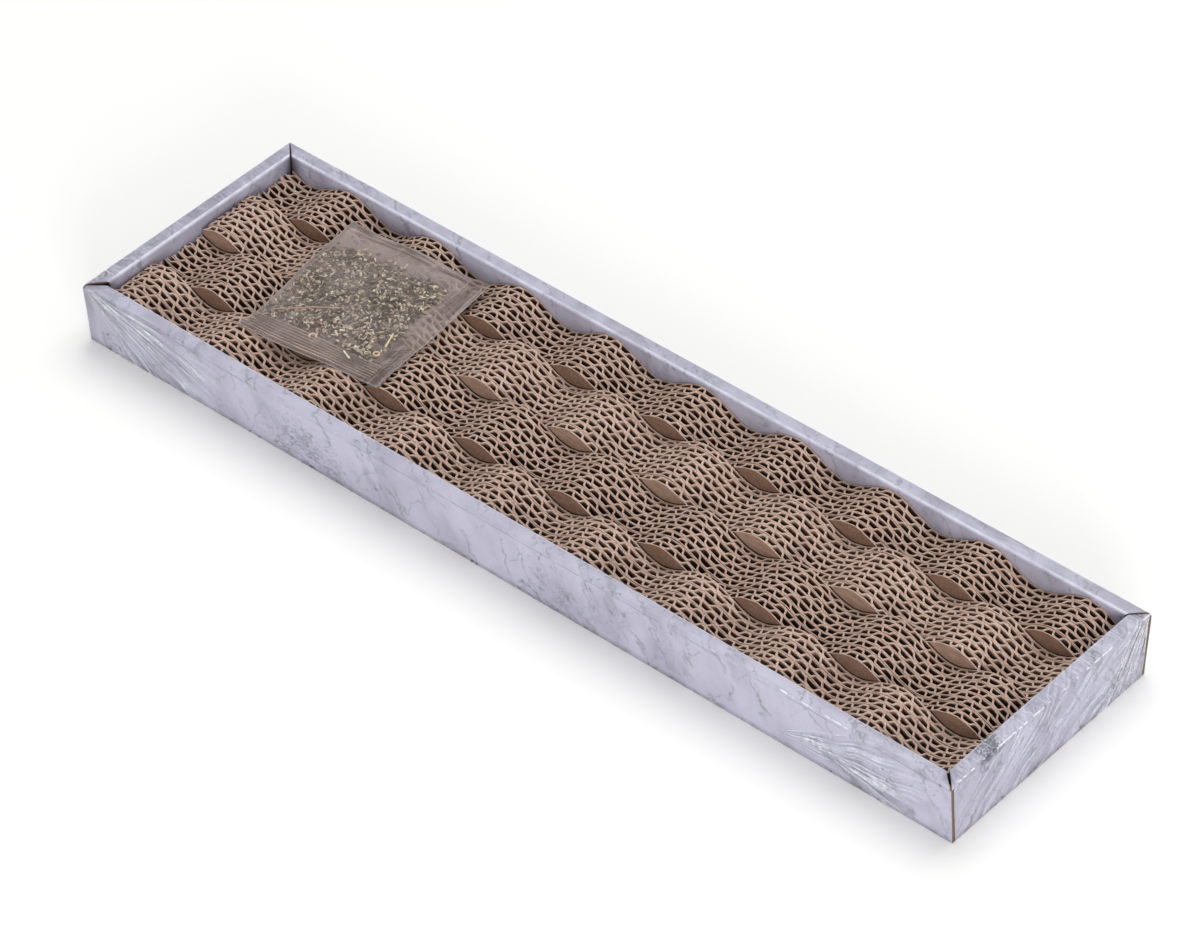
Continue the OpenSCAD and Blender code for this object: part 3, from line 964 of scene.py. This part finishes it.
# A seam's edge is this soft
SEAM_EDGE = 1.5 * MM
LIP = 4 * MM
ZIP_W = 8 * MM
ZIP_H = 1.4 * MM
SLOPE = 4 * MM
BAG_FILM_T = 0.12 * MM
# Columns and rows of faces in a sheet, about one to a millimetre
SHEET_STEPS = (75, 83)
CONTENT_H = 2.6 * MM
LUMPS = 0.25 * MM
# The bag sags by this over a trough this deep, but less where the zip stiffens it
SAG = 1.7 * MM
TROUGH = 9 * MM
ZIP_SAG = 0.5
RIPPLE = 0.18 * MM
# How far the bag lies over the pad, and its sheets lie apart where they are welded
CLEARANCE = 0.15 * MM
WELD = 0.1 * MM
# The bag lies turned a little further than its CAD sheets, with its far left corner up and its near left
# one down
BAG_TURN = math.radians(1.5)
FAR_RISE = 2.0 * MM
NEAR_DROOP = 1.6 * MM
RIB_R = 0.22 * MM
ZIP_BAND_T = 0.18 * MM
ZIP_CUTS = 24
# Each strip of the zip: its CAD node, height over the bag's underside, count of ribs, start and width
ZIP_STRIPS = {
    "zip_lower_strip": ("zip_channel", 0.35 * MM, 5, LIP + 0.5 * MM, ZIP_W - MM),
    "zip_upper_strip": ("zip_rib", 1.1 * MM, 7, 0.8 * MM, LIP + ZIP_W - MM),
}
LEAF_COUNT = 2800
LEAF_T = 0.25 * MM
# In millimetres, from and to: a leaf's size, and the length and radius of a fat seed and of a bit of stem
LEAF_SIZE = (0.5, 1.6)
SEED = ((1.1, 2.4), (0.4, 0.65))
STEM_BIT = ((1.0, 3.2), (0.18, 0.32))
BIT_COUNT = 700
# How many of the bits are seeds
SEED_SHARE = 0.6
# Bits are made this many at a time
FEW = 60
# How far the heap of catnip reaches from the bag's middle
HEAP_LEFT = 38 * MM
HEAP_RIGHT = 27 * MM
HEAP_NEAR = 30 * MM
HEAP_FAR = 29 * MM
# In the bag's own millimetres from its middle: a patch's place and reach
BARE_PATCHES = ((-7, -22, 7), (31, -1, 8), (-11.5, 39, 8))
# Where the right seam is pressed so smooth that the pad shows through
CLEAR_SPOT = (30 * MM, -2 * MM)
CLEAR_REACH = 17 * MM
# Each stalk's two ends, radius and shade
STALKS = (
    ((-5.4, -10.7), (-31, -24.6), 0.36, 0.05),
    ((24.5, -18), (23, -10), 0.42, 0.5),
    ((17, -33.5), (12, -31), 0.5, 0.9),
)
STALK_CUTS = 10
# Each curl's place, radius, thickness and sweep
CURLS = (((24, -23.6), 1.25, 0.5, 360), ((-4.6, -31), 1.5, 0.5, 250))
CURL_SHADE = 0.35
CURL_SIDES = 6
CURL_STEPS = 14
# How far the stalks and curls push the film up
BULGE = 0.55 * MM


class Bag:
    """Where the bag lies, read from its CAD sheet: u runs along its zip and v away from it."""

    def __init__(self):
        corners = [v.co.copy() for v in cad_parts["bag_back_sheet"].data.vertices]
        front_left = min(corners, key=lambda c: c.y).to_2d()
        front_right = max(corners, key=lambda c: c.x).to_2d()
        back_left = min(corners, key=lambda c: c.x).to_2d()
        self.width = (front_right - front_left).length
        self.length = (back_left - front_left).length
        self.zip_start = -self.length / 2 + LIP
        self.zip_end = self.zip_start + ZIP_W
        turn = Matrix.Rotation(BAG_TURN, 2)
        self.u = turn @ (front_right - front_left).normalized()
        self.v = turn @ (back_left - front_left).normalized()
        self.middle = front_left + self.u * self.width / 2 + self.v * self.length / 2
        self.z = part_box("bag_back_sheet")[0].z
        self.tops = []
        for node in strip_nodes():
            strip_low, strip_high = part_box(node)
            self.tops.append(((strip_low.y + strip_high.y) / 2, *top_line(node)))

    def place(self, u, v):
        return self.middle + self.u * u + self.v * v

    def support(self, spot):
        """Height of the pad under a spot, evened out over the strips beside it."""
        total = weight = 0.0
        for y, places, heights in self.tops:
            near = math.exp(-((spot.y - y) / (6 * MM)) ** 2)
            if near > 0.01:
                total += near * float(np.interp(spot.x, places, heights))
                weight += near
        return total / weight

    def under(self, u, v):
        """Height of the bag's underside: it rests on the crests and sags a little between them."""
        share = limited((self.z - self.support(self.place(u, v))) / TROUGH)
        stiff = ZIP_SAG if v < self.zip_end else 1.0
        ripple = RIPPLE * noise.noise(Vector((u / (11 * MM), v / (9 * MM), 4.4)))
        left, far = 0.5 - u / self.width, 0.5 + v / self.length
        curl = FAR_RISE * (left * far) ** 3 - NEAR_DROOP * min(1.0, 2 * share) * (left * (1 - far)) ** 3
        return self.z - SAG * stiff * share + ripple + CLEARANCE + curl

    def inside(self, u):
        """How far a place is inside the nearer side seam."""
        return min(u + self.width / 2 - LEFT_SEAL, self.width / 2 - RIGHT_SEAL - u)

    def side_seam(self, u):
        """1 on the welded seams at the bag's sides, 0 between them."""
        return limited(0.5 - self.inside(u) / SEAM_EDGE)

    def end_seam(self, v):
        """1 on the far seam, less at the zip, 0 on the pouch."""
        mouth = v + self.length / 2 - LIP - ZIP_W
        far = self.length / 2 - END_SEAL - v
        return max(0.35 * limited(0.5 - mouth / SEAM_EDGE), limited(0.5 - far / SEAM_EDGE))

    def room(self, u, v):
        """How far apart the two sheets are."""
        side = limited(self.inside(u) / SLOPE)
        if v < self.zip_start:
            return side * ZIP_H * fading(self.zip_start - v, LIP / 2)
        if v < self.zip_end:
            return side * ZIP_H
        share = min(1.0, (v - self.zip_end) / (self.length / 2 - END_SEAL - self.zip_end))
        crown = ZIP_H * (1 - share) + (CONTENT_H - ZIP_H / 2) * math.sin(math.pi * share)
        lumps = LUMPS * humps(u, v, 3 * MM, 8.1)
        return side * max(0.0, crown + lumps * math.sin(math.pi * share))


def bag_sheet(bag, name, height, material, node):
    """One sheet of the bag. Height gives its height at a place on the bag."""
    bm = bmesh.new()
    side_seam, end_seam, edge_highlight = point_values(bm, "side_seam", "end_seam", "edge_highlight")
    flat = bm.loops.layers.uv.new("flat")
    shares = {}

    def place(vert, along, across):
        u, v = (along - 0.5) * bag.width, (across - 0.5) * bag.length
        shares[vert] = (u, v)
        vert.co = (*bag.place(u, v), height(u, v))
        vert[side_seam] = bag.side_seam(u) * (1 - 0.9 * near_spot(u, v, CLEAR_SPOT, CLEAR_REACH))
        vert[end_seam] = bag.end_seam(v)
        # Marks the film's edge, where a highlight is painted
        vert[edge_highlight] = float(min(along, across, 1 - along, 1 - across) < 1e-4)

    shared_grid(bm, *SHEET_STEPS, place)
    smooth(bm)
    for face in bm.faces:
        for loop in face.loops:
            loop[flat].uv = shares[loop.vert]
    made = piece(bm, name, "catnip_bag", [material], [node])
    thicken(made, BAG_FILM_T, 1)


def ribbed_strip(bag, name, node, lift, ribs, start, wide):
    """One strip of the grip seal: a thin band with fine ribs along it."""
    bm = bmesh.new()
    start -= bag.length / 2
    length = bag.width - LEFT_SEAL - RIGHT_SEAL / 2
    for k in range(ribs):
        made = rod(bm, 6, RIB_R, RIB_R, length)
        bmesh.ops.translate(bm, vec=(0, start + wide * (k + 0.5) / ribs, RIB_R), verts=made)
    for face in bm.faces:
        face.material_index = 1
    band = bmesh.ops.create_cube(bm, size=1.0)["verts"]
    bmesh.ops.scale(bm, vec=(length, wide, ZIP_BAND_T), verts=band)
    bmesh.ops.translate(bm, vec=(0, start + wide / 2, 0), verts=band)
    divide(bm, ZIP_CUTS)
    for vert in bm.verts:
        u, v, z = vert.co
        u += LEFT_SEAL / 2 - RIGHT_SEAL / 4
        vert.co = (*bag.place(u, v), bag.under(u, v) + lift + z)
    piece(bm, name, "catnip_bag", [ZIP_BAND_SHADED, ZIP_RIB_LIT], [node])


def content_spot(bag, dice):
    """A place for a bit of catnip: thickest past the pouch's middle, thin towards its edges, and bare in
    patches."""
    while True:
        u = dice.uniform(-bag.width / 2 + LEFT_SEAL, bag.width / 2 - RIGHT_SEAL)
        v = dice.uniform(bag.zip_end, bag.length / 2 - END_SEAL)
        room = bag.room(u, v)
        heap = min(u + HEAP_LEFT, HEAP_RIGHT - u + 3 * MM * wander(v, 9 * MM, 5.3),
                   HEAP_FAR - v + 4 * MM * wander(u, 9 * MM, 6.3), v + HEAP_NEAR)
        thick = limited(heap / (5 * MM))
        patch = 0.75 + 1.1 * humps(u, v, 9 * MM, 2.9)
        bare = max(near_spot(u, v, (x * MM, y * MM), reach * MM) for x, y, reach in BARE_PATCHES)
        if room > 0.5 * MM and dice.random() < thick * patch * (1 - bare) + 0.02:
            return u, v


def strew(bag, bm, dice, tint, shape):
    """Puts one bit somewhere in the bag."""
    u, v = content_spot(bag, dice)
    made, thick = shape(bm, dice)
    turn = Matrix.Rotation(dice.uniform(0, 2 * math.pi), 4, "Z")
    tilt = turn @ Matrix.Rotation(dice.gauss(0, 0.25), 4, "X")
    room = max(0.0, bag.room(u, v) - 2 * thick)
    z = bag.under(u, v) + BAG_FILM_T + thick + room * dice.uniform(0.35, 1.0)
    bmesh.ops.transform(bm, matrix=Matrix.Translation((*bag.place(u, v), z)) @ tilt, verts=made)
    shade = dice.random()
    for vert in made:
        vert[tint] = shade


def add_to(whole, bm):
    """Moves a small mesh into a big one."""
    handful = mesh_of(bm, "handful")
    whole.from_mesh(handful)
    bpy.data.meshes.remove(handful)


def scatter(bag, name, count, seed, shape, material, nodes=()):
    """Strews small bits through the bag, a few at a time. Shape makes one bit and returns its points and
    thickness."""
    dice = random.Random(seed)
    whole = bmesh.new()
    point_values(whole, "tint")
    for done in range(0, count, FEW):
        few = bmesh.new()
        tint, = point_values(few, "tint")
        for _ in range(min(FEW, count - done)):
            strew(bag, few, dice, tint, shape)
        add_to(whole, few)
    piece(whole, name, "catnip_bag", [material], nodes)


def leaf(bm, dice):
    """A crumb of leaf: a small flat chip with uneven corners."""
    size = dice.uniform(*LEAF_SIZE) * MM
    made = bmesh.ops.create_cone(bm, cap_ends=True, segments=5, radius1=size, radius2=size * 0.8,
                                 depth=LEAF_T)["verts"]
    for vert in made:
        vert.co.x *= dice.uniform(0.6, 1.3)
        vert.co.y *= dice.uniform(0.35, 0.8)
    return made, LEAF_T


def stem(bm, dice):
    """A bit of stem, or a fat seed."""
    lengths, radii = SEED if dice.random() < SEED_SHARE else STEM_BIT
    length = dice.uniform(*lengths) * MM
    radius = dice.uniform(*radii) * MM
    return rod(bm, 6, radius, radius * 0.6, length), radius


def curl(bm, radius, thick, sweep):
    """A stem rolled into a ring or a hook."""
    at_side = Matrix.Translation((radius, 0, 0)) @ Matrix.Rotation(math.pi / 2, 4, "X")
    bmesh.ops.create_circle(bm, segments=CURL_SIDES, radius=thick, matrix=at_side)
    bmesh.ops.spin(bm, geom=bm.verts[:] + bm.edges[:], cent=(0, 0, 0), axis=(0, 0, 1), dvec=(0, 0, 0),
                   angle=math.radians(sweep), steps=CURL_STEPS, use_merge=sweep == 360)
    bmesh.ops.holes_fill(bm, edges=[e for e in bm.edges if e.is_boundary], sides=CURL_SIDES)


def add_shaded(whole, bm, shade):
    tint, = point_values(bm, "tint")
    for vert in bm.verts:
        vert[tint] = shade
    add_to(whole, bm)


def under_film(bag, place, radius, z=0.0):
    """Where a point goes that is z above the middle of a stalk or curl of this radius, which lies against
    the bag's front sheet."""
    room = max(bag.room(*place) + BULGE, 2 * radius)
    return Vector((*bag.place(*place), bag.under(*place) + room - radius + z))


def long_stems(bag):
    """The stalks and curls that stand out in the bag."""
    whole = bmesh.new()
    point_values(whole, "tint")
    for start, end, radius, shade in STALKS:
        start, end = Vector(start) * MM, Vector(end) * MM
        ahead = (end - start).normalized()
        bm = bmesh.new()
        rod(bm, 8, radius * MM, 0.7 * radius * MM, (end - start).length)
        divide(bm, STALK_CUTS)
        # It bends with the film over it
        for vert in bm.verts:
            place = (start + end) / 2 + ahead * vert.co.x + ahead.orthogonal() * vert.co.y
            vert.co = under_film(bag, place, radius * MM, vert.co.z)
        add_shaded(whole, bm, shade)
    for place, radius, thick, sweep in CURLS:
        bm = bmesh.new()
        curl(bm, radius * MM, thick * MM, sweep)
        bmesh.ops.translate(bm, vec=under_film(bag, Vector(place) * MM, thick * MM), verts=bm.verts)
        add_shaded(whole, bm, CURL_SHADE)
    bmesh.ops.recalc_face_normals(whole, faces=whole.faces)
    piece(whole, "catnip_stalks", "catnip_bag", [STEM])


def make_bag():
    bag = Bag()
    bag_sheet(bag, "bag_back_film", bag.under, BACK_FILM, "bag_back_sheet")
    bag_sheet(bag, "bag_front_film", lambda u, v: bag.under(u, v) + BAG_FILM_T + WELD + bag.room(u, v),
              FRONT_FILM, "bag_front_sheet")
    for name, settings in ZIP_STRIPS.items():
        ribbed_strip(bag, name, *settings)
    scatter(bag, "catnip_leaves", LEAF_COUNT, 5, leaf, LEAF, ["catnip"])
    scatter(bag, "catnip_bits", BIT_COUNT, 6, stem, STEM)
    long_stems(bag)


# Floor, light and camera

CAMERA_AT = Vector((1.15072, -1.30597, 1.56823))
CAMERA_AIM = Vector((-0.00398, 0.00540, 0.0150))
CAMERA_ROLL = math.radians(-0.828)
LENS = 165.55
SENSOR = 36.0
FLOOR_REACH = 4.0
SURROUNDINGS = 0.62
LAMP_DISTANCE = 2.2
# Each lamp: its angle round the tray from the front, its angle over the floor, its width and its brightness
LAMPS = {"lamp_over": (195, 68, 1.6, 0.44), "lamp_front": (48, 15, 0.8, 0.46)}


def make_floor():
    bm = bmesh.new()
    bmesh.ops.create_grid(bm, x_segments=4, y_segments=4, size=FLOOR_REACH)
    f = Finish("floor_white")
    tint = f.band(f.noise(0.4, 2), 0.3, 0.7, 0.0, 0.02)
    f.colour = f.mix(tint, (0.97, 0.97, 0.955, 1), (0.94, 0.94, 0.93, 1))
    floor = in_scene("floor", mesh_of(bm, "floor", [f.surface(Roughness=0.9, Specular_IOR_Level=0.0)]))


def softbox(name, side, height, size, brightness):
    """A soft square lamp that faces the tray. Brightness is what it adds to a face turned to it."""
    lamp = bpy.data.lights.new(name, "AREA")
    lamp.shape = "SQUARE"
    lamp.size = size
    lamp.energy = brightness * math.pi ** 2 * LAMP_DISTANCE ** 2
    box = in_scene(name, lamp)
    side, height = math.radians(side), math.radians(height)
    ahead = (math.cos(height) * math.sin(side), -math.cos(height) * math.cos(side), math.sin(height))
    box.location = LAMP_DISTANCE * Vector(ahead)
    box.rotation_euler = (-box.location).to_track_quat("-Z", "Y").to_euler()


def make_light():
    """White surroundings, a big soft lamp over the tray and behind it, and a low one beside the camera."""
    world = bpy.data.worlds.new("studio")
    world.use_nodes = True
    white = world.node_tree.nodes["Background"].inputs
    white["Color"].default_value = (1, 1, 1, 1)
    white["Strength"].default_value = SURROUNDINGS
    bpy.context.scene.world = world
    for name, settings in LAMPS.items():
        softbox(name, *settings)


def make_camera():
    data = bpy.data.cameras.new("camera")
    data.lens = LENS
    data.sensor_width = SENSOR
    data.sensor_fit = "HORIZONTAL"
    camera = in_scene("camera", data)
    turn = (CAMERA_AIM - CAMERA_AT).to_track_quat("-Z", "Y").to_matrix().to_4x4()
    camera.matrix_world = Matrix.Translation(CAMERA_AT) @ turn @ Matrix.Rotation(CAMERA_ROLL, 4, "Z")
    bpy.context.scene.camera = camera


bpy.context.scene.view_settings.view_transform = "Standard"
make_camera()
make_light()
make_floor()
make_tray()
make_pad()
make_bag()
